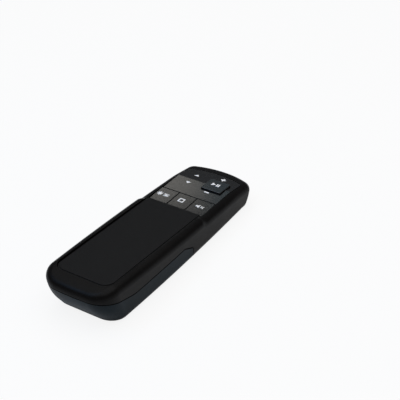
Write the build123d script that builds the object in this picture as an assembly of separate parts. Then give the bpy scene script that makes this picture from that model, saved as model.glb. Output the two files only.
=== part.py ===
from build123d import *
import os
from math import atan2, cos, degrees, radians, sin, tan

# Wireless presentation clicker: a wedge-shaped hand-held remote, nose towards +Y, resting on its underside.
# Millimetres. The origin is at the middle of the underside. The keys, the palm panel and the circuit board
# lie parallel to a deck that slopes down to the nose, so they are drawn in the deck's own frame.
# The sizes start at the two cells and the stowed receiver, which set the tray, and at the keys, which set
# the front. The body's width, height and length follow from these and from the walls and gaps around them.

# ---- Deck frame: the plane of the palm panel's face ----
deck_tilt = 3.8
deck_shift = -0.76

# ---- Walls, seams and general clearances ----
shell_wall = 1.8
cover_wall = 1.6
tray_wall = 1.2
deck_floor = 1.6
seam_gap = 0.2
fit_gap = 0.15
touch_gap = 0.05
pin_clearance = 0.05
press_clearance = 0.02

# ---- Cells ----
cell_d = 10.5
cell_length = 44.5
cell_nub_d = 3.8
cell_nub_length = 0.9
cell_edge = 0.4
cell_gap = 0.7
cell_floor_gap = 0.6
cell_roof_gap = 0.3
cell_side_gap = 0.3
cell_end_gap = 0.1

# ---- Contacts and springs at the ends of the cells ----
contact_thickness = 0.4
contact_half = 4.2
dimple_d = 3.0
dimple_length = 1.0
tab_width = 2.0
tab_thickness = 0.4
tab_reach = 3.0
tab_drop = 2.25
tab_side_gap = 0.3
tab_height_gap = 0.55
spring_wire_d = 0.5
spring_turns = 3.5
spring_base_r = 3.0
spring_tip_r = 1.8
spring_length = 4.5

# ---- Stowed receiver ----
receiver_thickness = 4.5
receiver_width = 10.5
receiver_plug_length = 12.0
receiver_body_length = 20.0
receiver_setback = 10.0
receiver_edge = 0.8
plug_inset = 0.15
plug_edge_inset = 0.3
plug_wall = 0.3
plug_floor = 2.0

# ---- Battery tray ----
tray_front = -2.5
rib_thickness = 0.8
rib_gap = 0.25
rib_root = 0.5
tray_side_foot = 5.0
floor_height = 4.2
rail_reach = 0.7
rail_root = 0.2
rail_height = 1.1
rail_drop = 2.1
rail_setback = 8.0

# ---- Key field ----
panel_front = 19.2
row_length = 13.1
rear_run = 14.65
front_run = 14.1
row_gap = 0.45
key_gap = 0.4
edge_gap = 0.3
window_corner = 3.0
plate_front_radius = 45.0
key_underside = -1.65
key_travel = 0.4
key_edge = 0.2
row_top_rear = -0.9
row_top_front = -0.2
plate_top_rear = -0.5
plate_top_ridge = 0.15
plate_top_front = -1.25
plate_front_run_on = 1.0

# ---- Play key ----
play_x = 7.4
play_width = 12.2
play_length = 10.7
play_top = 0.85
play_corner = 0.6
play_edge = 0.25
play_flange_reach = 0.7
play_flange_top = -2.3
play_flange_thickness = 0.55
play_flange_corner = 0.8

# ---- Body outline, seen square to the deck ----
flank_room = 2.0
side_bow = 1.4
tail_spread = 0.2
key_rim_width = 3.2
tail_room = 11.3
nose_lip = 7.1
waist_y = -10.0
tail_bow = 1.8
tail_bow_taper = 0.1
nose_bow = 4.9
tail_corner = 12.2
tail_corner_taper = 0.13
nose_corner = 6.0

# ---- Body flanks: draft of the sides, lean of the tail, chin under the nose ----
crease_z = -2.4
side_draft = 2.6
tail_tuck = 18.0
tail_tuck_depth = 8.0
tail_lean = 34.5
chin_top = -4.0
chin_curve = 0.05
flank_top = 6.0
flank_depths = (3.0, 9.0, 15.0)
flank_foot = 3.8

# ---- Body top and underside ----
deck_room = 1.2
rim_rise = 0.9
key_rim_drop = 0.1
tail_slope = 21.9
tail_blend = 20.0
nose_slope = 4.2
nose_blend = 60.0
step_setback = 4.2
step_run = 3.0
step_blend = 6.0
belly_tail_setback = 17.3
belly_rear_radius = 30.0
belly_rear_reach = 25.0
top_round = 4.0
bottom_round = 4.4

# ---- Seams of the housings and of the battery cover ----
seam_drop = 6.9
seam_rise_run = 22.5
seam_rise_angle = 14.0
seam_rise_blend = 20.0
cover_lap = 7.5
cover_top_setback = 1.0
cover_ramp_run = 0.8
cover_ramp_rise = 3.8
ramp_blend = 2.0
parting_foot = 1.0

# ---- Palm panel ----
panel_setback = 8.5
panel_thickness = 1.5
panel_corner = 6.5
panel_gap = 0.2
panel_edge = 0.25
panel_peg_d = 2.2
panel_peg_length = 1.2
panel_peg_x = 11.0
panel_peg_rear = 8.8
panel_peg_front = 11.2

# ---- Key frame, its cross beam and the stems that run in it ----
frame_thickness = 1.0
frame_bow = 0.1
frame_rear_lap = 0.4
frame_rear_gap = 0.6
frame_front_lap = 0.8
frame_corner = 5.0
frame_side_gap = 0.1
frame_bridge_gap = 0.2
beam_top = -3.3
beam_thickness = 1.0
beam_half_length = 3.6
beam_end_drop = 0.2
stem_width = 4.0
stem_length = 3.0
stem_clearance = 0.1
barb_reach = 0.35
barb_height = 0.4
barb_inset = 0.3
post_d = 3.2
row_post_setback = 2.1
beam_post_inset = 3.3

# ---- Rocker pivots and feet ----
roll_x = -3.0
pivot_z = -2.6
pivot_pin_d = 0.9
pivot_wall = 0.15
pivot_side_gap = 0.3
cradle_width = 2.0
cradle_half_length = 4.0
cradle_height = 1.0
lug_thickness = 1.3
lug_half = 1.1
ear_thickness = 1.3
ear_half = 1.2
foot_d = 2.4
foot_inset = 4.3
foot_left_x = -11.0
foot_right_x = 8.0
foot_gap = 0.6
key_root = 0.5

# ---- Circuit board and switches ----
board_top = -6.4
board_thickness = 0.8
board_side_gap = 0.4
board_rear_gap = 11.5
board_front_gap = 1.8
board_corner = 2.0
switch_side = 4.5
switch_height = 1.45
switch_corner = 0.4
switch_floor = 0.15
plunger_d = 1.8
plunger_bore_clearance = 0.1
plunger_rise = 0.55
plunger_length = 1.0

# ---- Chips on the board's underside: x, distance along the body, width, length, height ----
main_chip_size = (-7.0, 30.0, 6.0, 8.0, 1.5)
radio_chip_size = (4.0, 27.0, 4.0, 4.0, 0.9)
crystal_size = (4.0, 34.0, 4.5, 2.0, 1.3)

# ---- Laser ----
laser_x = 5.5
laser_room = 0.285
barrel_d = 4.8
barrel_length = 11.0
barrel_bore_d = 4.0
barrel_rear_bore = 3.0
lens_length = 1.4
lens_curve = 3.6
lens_setback = 1.0
diode_length = 2.4
carrier_inset = 0.1
carrier_thickness = 0.8
lead_d = 0.7
lead_spread = 1.1
lead_bend = 1.2
lead_drop = 1.4
window_d = 4.6
window_clearance = 0.05
window_thickness = 0.9
window_setback = 4.9
window_to_barrel = 3.8
aperture_d = 3.6
collar_d = 5.8
collar_length = 1.4
saddle_half = 4.0
saddle_length = 1.6
saddle_rear = 2.0
saddle_front = 4.0

# ---- Battery cover: tongue, ribs and grip ----
tongue_half = 7.0
tongue_reach = 3.0
tongue_root = 4.0
tongue_thickness = 0.8
tongue_foot = 0.95
keeper_wall = 1.0
keeper_setback = 0.8
cover_rib_height = 0.9
cover_rib_gap = 0.25
cover_rib_setback = 4.0
grip_y = -14.0
grip_width = 16.0
grip_length = 13.0
grip_corner = 4.0
grip_depth = 0.5
grip_rib_count = 5
grip_rib_pitch = 2.2
grip_rib_half = 0.45
grip_rib_reach = 5.5
grip_rib_foot = 0.1

# ---- Screws and their bosses ----
case_screw_d = 2.0
case_screw_head_d = 3.6
case_screw_head_height = 1.1
case_screw_length = 4.4
case_screw_inset = 2.6
case_screw_rear = 5.5
case_screw_front = 4.0
board_screw_d = 1.4
board_screw_head_d = 2.6
board_screw_head_height = 0.8
board_screw_length = 3.0
screw_clearance = 0.2
thread_bite = 0.15
bite_end_gap = 0.1
head_edge = 0.3
boss_d = 5.0

# ---- Snap hooks in the nose, and pillars under the board ----
hook_spots = (-9.0, 13.0)
hook_width = 4.0
hook_height = 1.2
hook_reach = 0.9
hook_root = 2.2
hook_z = 5.6
tub_top = 6.0
tub_gap = 0.3
pillar_d = 3.0
pillar_x = 13.0
pillar_setback = 8.0
nose_pillar_x = -8.0
nose_pillar_setback = 7.8
pillar_root = 1.0

# ---- Worked out: tray and cells ----
cell_axis_x = (cell_d + cell_gap) / 2
cell_axis_z = cover_wall + cell_floor_gap + cell_d / 2
tray_ceiling = cell_axis_z + cell_d / 2 + cell_roof_gap
bay_half = cell_d + cell_gap / 2 + cell_side_gap
bay_front = tray_front - tray_wall
bay_length = cell_length + spring_length + 2 * contact_thickness + dimple_length + 3 * cell_end_gap
bay_rear = bay_front - bay_length
tray_rear = bay_rear - tray_wall
pocket_inner = bay_half + rib_thickness + rib_gap
pocket_outer = pocket_inner + receiver_thickness + 2 * fit_gap
tray_half = pocket_outer + tray_wall

# ---- Worked out: widths of the body ----
nose_half = tray_half + flank_room
waist_half = nose_half + side_bow
tail_half = nose_half + tail_spread
window_half = nose_half - key_rim_width
panel_half = window_half
frame_half = nose_half - shell_wall + frame_bow
board_half = window_half - board_side_gap
beam_post_x = frame_half - beam_post_inset
case_screw_x = pocket_outer - case_screw_inset

# ---- Worked out: places along the body ----
tail_end = tray_rear - tail_room
panel_rear = tail_end + panel_setback
belly_rear = tail_end + belly_tail_setback
window_rear = panel_front
row_rear = window_rear + edge_gap
row_front = row_rear + row_length
row_middle = (row_rear + row_front) / 2
plate_rear = row_front + row_gap
ridge_y = plate_rear + rear_run
plate_front = ridge_y + front_run
nose_end = plate_front + nose_lip
step_start = panel_front - step_setback
foot_reach = front_run - foot_inset
frame_rear = panel_front - frame_rear_lap
frame_front = plate_front + frame_front_lap
cover_front = tray_front + cover_lap
board_rear = tray_front + board_rear_gap
board_front = plate_front - board_front_gap
window_seat = nose_end - window_setback
barrel_front = window_seat - window_to_barrel
barrel_rear = barrel_front - barrel_length

# ---- Worked out: heights ----
deck_height = tray_ceiling + tray_wall + deck_room + deck_floor + panel_thickness
seam_height = deck_height - seam_drop
cover_ramp_foot = seam_height - cover_ramp_rise
rail_foot = seam_height - rail_drop
frame_top = key_underside - key_travel - touch_gap
frame_underside = frame_top - frame_thickness
beam_underside = beam_top - beam_thickness
board_underside = board_top - board_thickness
switch_top = board_top + switch_height
plunger_top = switch_top + plunger_rise

# ---- Worked out: keys and screws ----
key_width = (2 * window_half - 2 * edge_gap - 2 * key_gap) / 3
key_pitch = key_width + key_gap
case_screw_core_d = case_screw_d - 2 * thread_bite
board_screw_core_d = board_screw_d - 2 * thread_bite

far = 200.0
facing = 0.8
side_plane = Plane(origin=(0, 0, 0), x_dir=(0, 1, 0), z_dir=(1, 0, 0))
tilt = radians(deck_tilt)
deck = Plane(origin=(0, deck_shift, deck_height), x_dir=(1, 0, 0), z_dir=(0, sin(tilt), cos(tilt)))


def deck_z(y, z):
    """Height above the rest plane, given a distance along the body and a height above the deck."""
    return deck_height + z - tan(tilt) * (y - deck_shift)


laser_z = deck_z(barrel_front, board_underside) - barrel_d / 2 - laser_room


def on_deck(shape):
    """Places a shape drawn in the deck's frame."""
    return deck.location * shape


def block(x, y, z):
    """A box given by its two limits along each axis."""
    size = (x[1] - x[0], y[1] - y[0], z[1] - z[0])
    middle = ((x[0] + x[1]) / 2, (y[0] + y[1]) / 2, (z[0] + z[1]) / 2)
    return Pos(*middle) * Box(*size)


def rod(x, y, z, diameter, length, toward=(0, 0, 1)):
    """A cylinder that starts at a point and runs along a direction."""
    start = Plane(origin=(x, y, z), z_dir=toward)
    return extrude(start * Circle(diameter / 2), length)


def side_prism(profile, half=far):
    """Carries a profile drawn in Y and Z across the body."""
    return extrude(side_plane * profile, half, both=True)


def nearest(face, x, y):
    return face.vertices().sort_by_distance(Vector(x, y, 0))[0]


# ---- Outer form ----


def outline(z, inset):
    """Plan outline of the body at a height in the deck's frame: bowed ends, bowed sides, round corners."""
    depth = crease_z - z
    side = depth * tan(radians(side_draft)) + inset
    tuck = min(depth, tail_tuck_depth) * tan(radians(tail_tuck))
    lean = max(depth - tail_tuck_depth, 0) * tan(radians(tail_lean))
    tail = tail_end + tuck + lean + inset
    nose = nose_end - chin_curve * max(chin_top - z, 0) ** 2 - inset
    tail_x, waist_x, nose_x = tail_half - side, waist_half - side, nose_half - side
    tail_y, nose_y = tail + tail_bow - tail_bow_taper * depth, nose - nose_bow
    ring = Curve() + [
        ThreePointArc((-tail_x, tail_y), (0, tail), (tail_x, tail_y)),
        ThreePointArc((tail_x, tail_y), (waist_x, waist_y), (nose_x, nose_y)),
        ThreePointArc((nose_x, nose_y), (0, nose), (-nose_x, nose_y)),
        ThreePointArc((-nose_x, nose_y), (-waist_x, waist_y), (-tail_x, tail_y)),
    ]
    face = make_face(ring)
    face = fillet(face.vertices().sort_by(Axis.Y)[:2], tail_corner - tail_corner_taper * depth - inset)
    face = fillet(face.vertices().sort_by(Axis.Y)[-2:], nose_corner - inset)
    return Pos(0, 0, z) * face


def flanks(inset):
    """The body's sides, as one smooth surface through outlines at several heights."""
    heights = [flank_top] + [-depth for depth in flank_depths] + [-deck_height - flank_foot]
    return on_deck(loft([outline(z, inset) for z in heights]))


def above_top():
    """Everything above the body's top: tail slope, palm panel's rim, step down, key rim, nose slope."""
    key_rim = -key_rim_drop
    tail_drop = (far + panel_rear) * tan(radians(tail_slope))
    nose_drop = (far - ridge_y) * tan(radians(nose_slope))
    step_end = step_start + step_run
    line = Polyline(
        (-far, rim_rise - tail_drop),
        (panel_rear, rim_rise),
        (step_start, rim_rise),
        (step_end, key_rim),
        (ridge_y, key_rim),
        (far, key_rim - nose_drop),
        (far, far),
        (-far, far),
        close=True,
    )
    face = make_face(line)
    face = fillet(nearest(face, panel_rear, rim_rise), tail_blend)
    face = fillet(nearest(face, step_start, rim_rise), step_blend)
    face = fillet(nearest(face, step_end, key_rim), step_blend)
    face = fillet(nearest(face, ridge_y, key_rim), nose_blend)
    return on_deck(side_prism(face))


def below_belly(lift=0.0):
    """Everything below the underside: flat from the nose to the cells' far end, then curving up to the tail."""
    rise = belly_rear_radius
    rear = belly_rear - belly_rear_reach
    rear_z = lift + rise - (rise**2 - belly_rear_reach**2) ** 0.5
    middle_z = lift + rise - (rise**2 - (belly_rear_reach / 2) ** 2) ** 0.5
    line = Curve() + [
        ThreePointArc((rear, rear_z), (belly_rear - belly_rear_reach / 2, middle_z), (belly_rear, lift)),
        Polyline((belly_rear, lift), (far, lift), (far, -far), (rear, -far), (rear, rear_z)),
    ]
    return side_prism(make_face(line))


def rim_edges(body, faces):
    """The edges that bound a group of faces, without those between two of the group."""
    ring = []
    for edge in body.edges():
        sides = [face for face in faces if any(edge.is_same(other) for other in face.edges())]
        if len(sides) == 1:
            ring.append(edge)
    return ring


def outer_form():
    body = flanks(0) - above_top() - below_belly()
    under = [face for face in body.faces() if face.normal_at().Z < -facing]
    body = fillet(rim_edges(body, under), bottom_round)
    over = [face for face in body.faces() if face.normal_at().Z > facing]
    return fillet(rim_edges(body, over), top_round)


form = outer_form()
inner_flanks = flanks(shell_wall)


def cover_zone(gap=0.0):
    """The part of the body that belongs to the battery cover, widened by a gap."""
    front = cover_front + gap
    ramp_y = front - cover_ramp_run
    ramp_z = cover_ramp_foot + gap
    rise_y = tail_end + seam_rise_run
    line = Polyline(
        (-far, -far),
        (-far, seam_height + gap + (rise_y + far) * tan(radians(seam_rise_angle))),
        (rise_y, seam_height + gap),
        (tray_front - cover_top_setback + gap, seam_height + gap),
        (ramp_y, ramp_z),
        (front, -far),
        close=True,
    )
    face = make_face(line)
    face = fillet(nearest(face, ramp_y, ramp_z), ramp_blend)
    face = fillet(nearest(face, rise_y, seam_height + gap), seam_rise_blend)
    return side_prism(face)


def parting_zone(gap=0.0):
    """The part of the body below the level parting line between the two housings."""
    return block((-far, far), (cover_front - cover_lap, far), (-far, parting_foot + gap))


def window_outline(gap=0.0, rear=None):
    """Plan of the key field's opening: straight sides, front edge bowed with the nose."""
    rear_y = window_rear if rear is None else rear
    half = window_half - gap
    front = plate_front - gap
    corner_y = front - plate_front_radius + (plate_front_radius**2 - half**2) ** 0.5
    ring = Curve() + [
        Line((-half, rear_y), (half, rear_y)),
        Line((half, rear_y), (half, corner_y)),
        ThreePointArc((half, corner_y), (0, front), (-half, corner_y)),
        Line((-half, corner_y), (-half, rear_y)),
    ]
    face = make_face(ring)
    return fillet(face.vertices().sort_by(Axis.Y)[-2:], window_corner - gap)


def panel_outline(gap=0.0):
    """Plan of the palm panel: round corners at the tail, square where it meets the keys."""
    half = panel_half - gap
    rear = panel_rear + gap
    face = Pos(0, (rear + panel_front) / 2) * Rectangle(2 * half, panel_front - rear)
    return fillet(face.vertices().sort_by(Axis.Y)[:2], panel_corner - gap)


# ---- Case screws and bosses ----

case_screw_spots = [
    (-case_screw_x, tray_rear + case_screw_rear, tray_ceiling),
    (case_screw_x, tray_rear + case_screw_rear, tray_ceiling),
    (-case_screw_x, tray_front + case_screw_front, floor_height),
    (case_screw_x, tray_front + case_screw_front, floor_height),
]
row_post_x = key_pitch / 2
row_post_y = row_rear + row_post_setback
board_screw_spots = [
    (-row_post_x, row_post_y, frame_underside),
    (row_post_x, row_post_y, frame_underside),
    (-beam_post_x, ridge_y, beam_underside),
    (beam_post_x, ridge_y, beam_underside),
]
key_switch_spots = [(-key_pitch, row_middle), (0, row_middle), (key_pitch, row_middle), (play_x, ridge_y)]
rocker_switch_spots = [
    (foot_left_x, ridge_y - foot_reach),
    (foot_left_x, ridge_y + foot_reach),
    (foot_right_x, ridge_y - foot_reach),
    (foot_right_x, ridge_y + foot_reach),
]
panel_peg_spots = [
    (0, panel_rear + panel_peg_rear),
    (-panel_peg_x, panel_front - panel_peg_front),
    (panel_peg_x, panel_front - panel_peg_front),
]


def hook_end(spot):
    """How far the inside of the nose lies forward at a snap hook."""
    depth = deck_height - hook_z - tan(tilt) * nose_end
    inside = nose_end - shell_wall - chin_curve * max(chin_top + depth, 0) ** 2
    return inside - spot**2 / (2 * plate_front_radius) + deck_shift - depth * sin(tilt)


def upper_housing():
    ceiling = block((-far, far), (-far, panel_front), (-far, -panel_thickness - deck_floor))
    ceiling += block((-far, far), (frame_rear - frame_rear_gap, far), (-far, frame_top))
    shell = form - (inner_flanks & on_deck(ceiling))
    shell -= cover_zone(seam_gap)
    shell -= parting_zone(touch_gap)
    recess = extrude(Pos(0, 0, -panel_thickness) * panel_outline(), far)
    shell -= on_deck(recess)
    window = extrude(Pos(0, 0, -deck_height) * window_outline(), far)
    shell -= on_deck(window)
    for x, y, seat in case_screw_spots:
        top = deck_z(y, -panel_thickness - deck_floor / 2)
        foot = seat + tray_wall + touch_gap
        shell += rod(x, y, foot, boss_d, top - foot)
        shell -= rod(x, y, foot, case_screw_core_d, case_screw_length - tray_wall + bite_end_gap)
    for x, y in panel_peg_spots:
        shell -= on_deck(rod(x, y, -panel_thickness - deck_floor, panel_peg_d + 2 * fit_gap, far))
    collar_rear = window_seat - collar_length
    collar = rod(laser_x, collar_rear, laser_z, collar_d, collar_length + shell_wall, (0, 1, 0))
    shell += collar & form
    seat_d = window_d + 2 * window_clearance
    shell -= rod(laser_x, barrel_front, laser_z, seat_d, window_seat - barrel_front, (0, 1, 0))
    shell -= rod(laser_x, collar_rear, laser_z, aperture_d, far, (0, 1, 0))
    for spot in hook_spots:
        end = hook_end(spot)
        grow = hook_width / 2 + fit_gap
        slot_z = (hook_z - fit_gap, hook_z + hook_height + fit_gap)
        shell -= block((spot - grow, spot + grow), (end - hook_root, end + hook_reach), slot_z)
    return shell


def palm_panel():
    underside = -panel_thickness + touch_gap
    panel = extrude(Pos(0, 0, underside) * panel_outline(panel_gap), -underside)
    panel = chamfer(panel.faces().sort_by(Axis.Z)[-1].edges(), panel_edge)
    for x, y in panel_peg_spots:
        panel += rod(x, y, underside, panel_peg_d, panel_peg_length, (0, 0, -1))
    return on_deck(panel)


# ---- Keys ----


def stem(x, y, top, barbed):
    """Guide stem under a key, with snap barbs where it hangs in the frame."""
    half_w = stem_width / 2
    half_l = stem_length / 2
    body = block((x - half_w, x + half_w), (y - half_l, y + half_l), (plunger_top, top))
    if not barbed:
        return body
    upper = frame_underside - 2 * touch_gap
    wedge = make_face(Polyline(
        (x - half_w - barb_reach, upper),
        (x + half_w + barb_reach, upper),
        (x + half_w, upper - 2 * barb_height),
        (x - half_w, upper - 2 * barb_height),
        close=True,
    ))
    front = Plane(origin=(0, y, 0), x_dir=(1, 0, 0), z_dir=(0, -1, 0))
    return body + extrude(front * wedge, half_l - barb_inset, both=True)


def row_key(x):
    """One of the three keys behind the rocker: a cap that rises towards the nose, on a barbed stem."""
    profile = Polyline(
        (row_rear, key_underside),
        (row_rear, row_top_rear),
        (row_front, row_top_front),
        (row_front, key_underside),
        close=True,
    )
    cap = Pos(x, 0, 0) * side_prism(make_face(profile), key_width / 2)
    top = cap.faces().sort_by(Axis.Z)[-1]
    cap = fillet(top.edges(), key_edge)
    return on_deck(cap + stem(x, row_middle, key_underside, True))


def play_key():
    """Raised square key in the rocker's cut-out, held down by a flange under the rocker."""
    cap = extrude(
        Pos(play_x, ridge_y, play_flange_top) * RectangleRounded(play_width, play_length, play_corner),
        play_top - play_flange_top,
    )
    cap = fillet(cap.faces().sort_by(Axis.Z)[-1].edges(), play_edge)
    bottom = play_flange_top - play_flange_thickness
    plan = RectangleRounded(
        play_width + 2 * play_flange_reach, play_length + 2 * play_flange_reach, play_flange_corner
    )
    flange = extrude(Pos(play_x, ridge_y, bottom) * plan, play_flange_thickness)
    return on_deck(cap + flange + stem(play_x, ridge_y, bottom, False))


def rocker_plate():
    """Four-way plate with a ridge across it: page keys on the left, volume keys on the right."""
    profile = Polyline(
        (plate_rear, key_underside),
        (plate_rear, plate_top_rear),
        (ridge_y, plate_top_ridge),
        (plate_front + plate_front_run_on, plate_top_front),
        (plate_front + plate_front_run_on, key_underside),
        close=True,
    )
    slab = side_prism(make_face(profile))
    plan = Pos(0, 0, key_underside) * window_outline(edge_gap, plate_rear)
    plate = slab & extrude(plan, far)
    over = [face for face in plate.faces() if face.normal_at().Z > facing]
    plate = fillet(rim_edges(plate, over), key_edge)
    cut = RectangleRounded(play_width + 2 * edge_gap, play_length + 2 * edge_gap, play_corner + edge_gap)
    plate -= extrude(Pos(play_x, ridge_y, key_underside) * cut, far)
    root = key_underside + key_root
    foot_bottom = plunger_top + foot_gap
    for x in (foot_left_x, foot_right_x):
        for side in (-1, 1):
            plate += rod(x, ridge_y + side * foot_reach, foot_bottom, foot_d, root - foot_bottom)
    lug_bottom = pivot_z - pivot_pin_d / 2 - pivot_wall
    hole_d = pivot_pin_d + 2 * pin_clearance
    for side in (-1, 1):
        near_y = ridge_y + side * (cradle_half_length + pivot_side_gap)
        lug_y = sorted((near_y, near_y + side * lug_thickness))
        plate += block((roll_x - lug_half, roll_x + lug_half), lug_y, (lug_bottom, root))
        plate -= rod(roll_x, lug_y[0], pivot_z, hole_d, lug_thickness, (0, 1, 0))
    return on_deck(plate)


def rocker_cradle():
    """Cross-shaped link: its side pins tip fore and aft in the frame, its end pins carry the rocker."""
    half_height = cradle_height / 2
    bar = block(
        (roll_x - cradle_width / 2, roll_x + cradle_width / 2),
        (ridge_y - cradle_half_length, ridge_y + cradle_half_length),
        (pivot_z - half_height, pivot_z + half_height),
    )
    side_reach = cradle_width / 2 + pivot_side_gap + ear_thickness
    cross = rod(roll_x - side_reach, ridge_y, pivot_z, pivot_pin_d, 2 * side_reach, (1, 0, 0))
    end_reach = cradle_half_length + pivot_side_gap + lug_thickness
    spine = rod(roll_x, ridge_y - end_reach, pivot_z, pivot_pin_d, 2 * end_reach, (0, 1, 0))
    return on_deck(bar + cross + spine)


def key_frame():
    """Frame under the keys: guide holes for the stems, a window for the rocker and a cross beam."""
    plan = Pos(0, (frame_rear + frame_front) / 2) * Rectangle(2 * frame_half, frame_front - frame_rear)
    plan = fillet(plan.vertices().sort_by(Axis.Y)[-2:], frame_corner)
    frame = extrude(Pos(0, 0, frame_underside) * plan, frame_thickness)
    opening = window_outline(-frame_side_gap, plate_rear - frame_bridge_gap)
    frame -= extrude(Pos(0, 0, frame_underside) * opening, frame_thickness)
    beam_y = (ridge_y - beam_half_length, ridge_y + beam_half_length)
    frame += block((-frame_half, frame_half), beam_y, (beam_underside, beam_top))
    for side in (-1, 1):
        end_x = sorted((side * (window_half + frame_side_gap), side * frame_half))
        frame += block(end_x, beam_y, (beam_underside, frame_top - beam_end_drop))
        ear_near = roll_x + side * (cradle_width / 2 + pivot_side_gap)
        ear_x = sorted((ear_near, ear_near + side * ear_thickness))
        ear_top = pivot_z + pivot_pin_d / 2 + pivot_wall
        frame += block(ear_x, (ridge_y - ear_half, ridge_y + ear_half), (beam_top, ear_top))
        frame -= rod(ear_x[0], ridge_y, pivot_z, pivot_pin_d + 2 * pin_clearance, ear_thickness, (1, 0, 0))
    half_w = stem_width / 2 + stem_clearance
    half_l = stem_length / 2 + stem_clearance
    for x, y in key_switch_spots:
        frame -= block((x - half_w, x + half_w), (y - half_l, y + half_l), (-far, far))
    for x, y, seat in board_screw_spots:
        frame += rod(x, y, board_top + touch_gap, post_d, seat - board_top)
        frame -= rod(x, y, board_top, board_screw_core_d, board_screw_length)
    return on_deck(frame)


# ---- Board ----


def plunger(x, y):
    return rod(x, y, plunger_top - plunger_length, plunger_d, plunger_length)


def switch_body(x, y):
    """Low tactile switch: a square case with a blind hole for its plunger."""
    half = switch_side / 2
    case = block((x - half, x + half), (y - half, y + half), (board_top, switch_top))
    case = chamfer(case.edges().filter_by(Axis.Z), switch_corner)
    bore_d = plunger_d + 2 * plunger_bore_clearance
    return case - rod(x, y, board_top + switch_floor, bore_d, switch_height)


def circuit_board():
    plan = Pos(0, (board_rear + board_front) / 2) * RectangleRounded(
        2 * board_half, board_front - board_rear, board_corner
    )
    board = extrude(Pos(0, 0, board_underside) * plan, board_thickness)
    for x, y, seat in board_screw_spots:
        board -= rod(x, y, board_underside, board_screw_d + 2 * fit_gap, board_thickness)
    return on_deck(board)


def chip(x, y, width, length, height):
    """A chip soldered to the board's underside."""
    across = (x - width / 2, x + width / 2)
    along = (y - length / 2, y + length / 2)
    return on_deck(block(across, along, (board_underside - height, board_underside)))


def board_screws():
    """Four pan-head screws that hold the board to the key frame from below."""
    screws = []
    for x, y, seat in board_screw_spots:
        head = rod(x, y, board_underside, board_screw_head_d, board_screw_head_height, (0, 0, -1))
        head = chamfer(head.faces().sort_by(Axis.Z)[0].edges(), head_edge)
        shank = rod(x, y, board_underside, board_screw_core_d, board_screw_length)
        screws.append(on_deck(head + shank))
    return screws


# ---- Laser ----


def laser_rod(y, diameter, length, toward=1):
    """A round piece on the laser's axis, from a distance along the body towards the nose or the tail."""
    return rod(laser_x, y, laser_z, diameter, length, (0, toward, 0))


def laser_barrel():
    front_bore = lens_length + lens_setback
    barrel = laser_rod(barrel_rear, barrel_d, barrel_length)
    barrel -= laser_rod(barrel_front, barrel_bore_d, front_bore, -1)
    barrel -= laser_rod(barrel_rear, barrel_bore_d, barrel_rear_bore)
    return barrel


def laser_lens():
    """Plano-convex collimator lens in the barrel's mouth."""
    rear = barrel_front - lens_length - lens_setback
    blank = laser_rod(rear, barrel_bore_d - 2 * press_clearance, lens_length)
    dome = Pos(laser_x, rear + lens_length - lens_curve, laser_z) * Sphere(lens_curve)
    return blank & dome


def laser_diode():
    """Diode can in the barrel's rear bore, on its round carrier board."""
    can = laser_rod(barrel_rear, barrel_bore_d - 2 * press_clearance, diode_length)
    carrier = laser_rod(barrel_rear, barrel_d - 2 * carrier_inset, carrier_thickness, -1)
    return can + carrier


def laser_window():
    return laser_rod(window_seat, window_d, window_thickness, -1)


def laser_leads():
    """Two short wires from the diode's carrier up to the board."""
    start_y = barrel_rear - carrier_thickness
    end_y = start_y - lead_drop - lead_bend
    end_z = deck_z(end_y, board_underside) - touch_gap
    leads = []
    for side in (-1, 1):
        x = laser_x + side * lead_spread
        corners = [(x, start_y, laser_z), (x, end_y, laser_z), (x, end_y, end_z)]
        path = FilletPolyline(*corners, radius=lead_bend)
        section = Plane(origin=(x, start_y, laser_z), z_dir=(0, -1, 0)) * Circle(lead_d / 2)
        leads.append(sweep(section, path=path))
    return leads


# ---- Battery bay ----

def battery_tray(inner):
    """Box around the cells and the receiver, open below, with a rib beside the cells and rails outside."""
    roof = tray_ceiling + tray_wall
    tray = block((-tray_half, tray_half), (tray_rear, tray_front), (tray_side_foot, roof)) & inner
    tray -= block((-pocket_outer, pocket_outer), (bay_rear, bay_front), (-far, tray_ceiling))
    for side in (-1, 1):
        rib_x = sorted((side * bay_half, side * (bay_half + rib_thickness)))
        tray += block(rib_x, (bay_rear, bay_front), (cell_axis_z, tray_ceiling + rib_root))
        rail_x = sorted((side * (tray_half - rail_root), side * (tray_half + rail_reach)))
        tray += block(rail_x, (tray_rear + rail_setback, tray_front), (rail_foot, rail_foot + rail_height))
    return tray


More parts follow.
